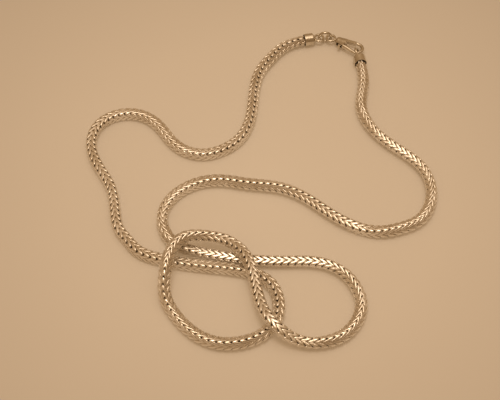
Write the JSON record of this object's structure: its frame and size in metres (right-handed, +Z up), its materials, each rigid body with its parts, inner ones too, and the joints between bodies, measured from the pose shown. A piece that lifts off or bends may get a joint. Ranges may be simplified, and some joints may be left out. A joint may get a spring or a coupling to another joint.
{
  "type": "foxtail chain necklace",
  "caption": "Silver foxtail chain necklace with soldered end caps, a jump ring and a lobster clasp, fastened and lying in loose folds.",
  "frame": {"origin": "centre of the necklace's bounding box in plan, on the surface that it lies on", "axes": "+Z up from the surface, +Y away from the viewer of the picture towards the clasp, +X to the viewer's right"},
  "size_m": [0.0806, 0.0882, 0.006],
  "materials": {
    "silver_chain": "polished silver links",
    "silver_fittings": "polished silver"
  },
  "bodies": {
    "necklace": {"chain_left": "silver_chain", "chain_right": "silver_chain", "end_cap_left": "silver_fittings", "end_cap_right": "silver_fittings", "jump_ring": "silver_fittings", "clasp_body": "silver_fittings"},
    "lever": {"clasp_lever": "silver_fittings"}
  },
  "joints": [
    {"name": "lever_hinge", "type": "hinge", "parent": "necklace", "child": "lever", "pos_m": [0.02076, 0.04125, 0.00145], "axis": [0, 0, -1], "range_deg": [0, 25], "stiffness_Nm_per_rad": 0.003, "springref_deg": -14.32}
  ]
}
